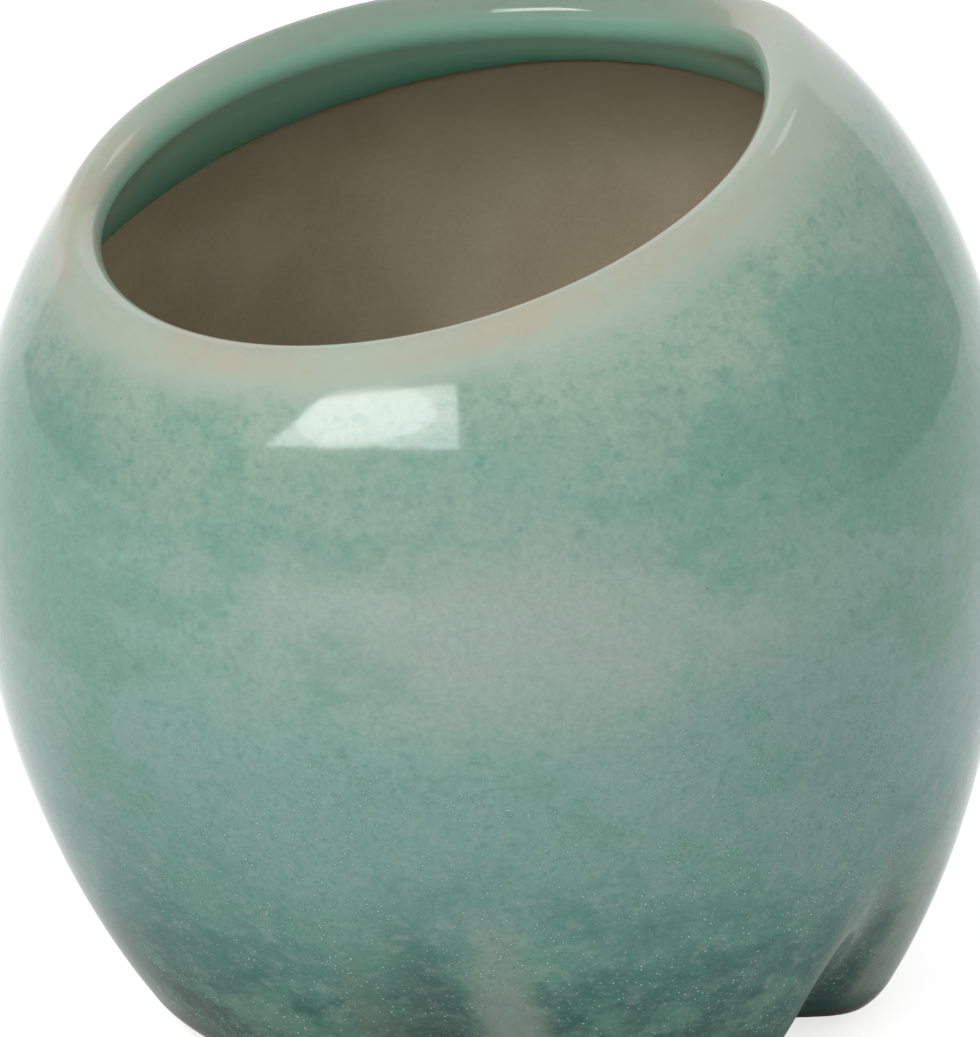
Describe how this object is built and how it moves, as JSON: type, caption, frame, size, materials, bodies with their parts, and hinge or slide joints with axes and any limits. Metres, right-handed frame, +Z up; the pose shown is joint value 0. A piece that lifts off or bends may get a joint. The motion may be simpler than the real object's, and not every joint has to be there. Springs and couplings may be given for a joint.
{
  "type": "flower pot",
  "caption": "Glazed stoneware flower pot with an egg-shaped body, lobes at its foot, a slanted round-lipped mouth, a lift-out rubber bung in its drain hole and soft foot pads.",
  "frame": {"origin": "on the surface the pot stands on, under the middle of its belly", "axes": "+Z up, +Y towards the high side of the slanted mouth, +X to the right of someone looking along +Y from the low side"},
  "size_m": [0.15, 0.15, 0.1447],
  "materials": {
    "stoneware": "bare fired stoneware, matte grey-brown",
    "celadon": "glossy reactive celadon glaze, mottled grey-green, pooling dark in the grooves",
    "bung_rubber": "moulded black rubber, satin",
    "pad_rubber": "die-cut dark grey rubber foam, matte"
  },
  "bodies": {
    "pot": {"stoneware_body": "stoneware", "celadon_glaze": "celadon", "foot_pad_1": "pad_rubber", "foot_pad_2": "pad_rubber", "foot_pad_3": "pad_rubber", "foot_pad_4": "pad_rubber", "foot_pad_5": "pad_rubber"},
    "bung": {"drain_bung": "bung_rubber"}
  },
  "joints": [
    {"name": "bung_lift", "type": "slide", "parent": "pot", "child": "bung", "axis": [0, 0, 1], "range_m": [0, 0.146]}
  ]
}
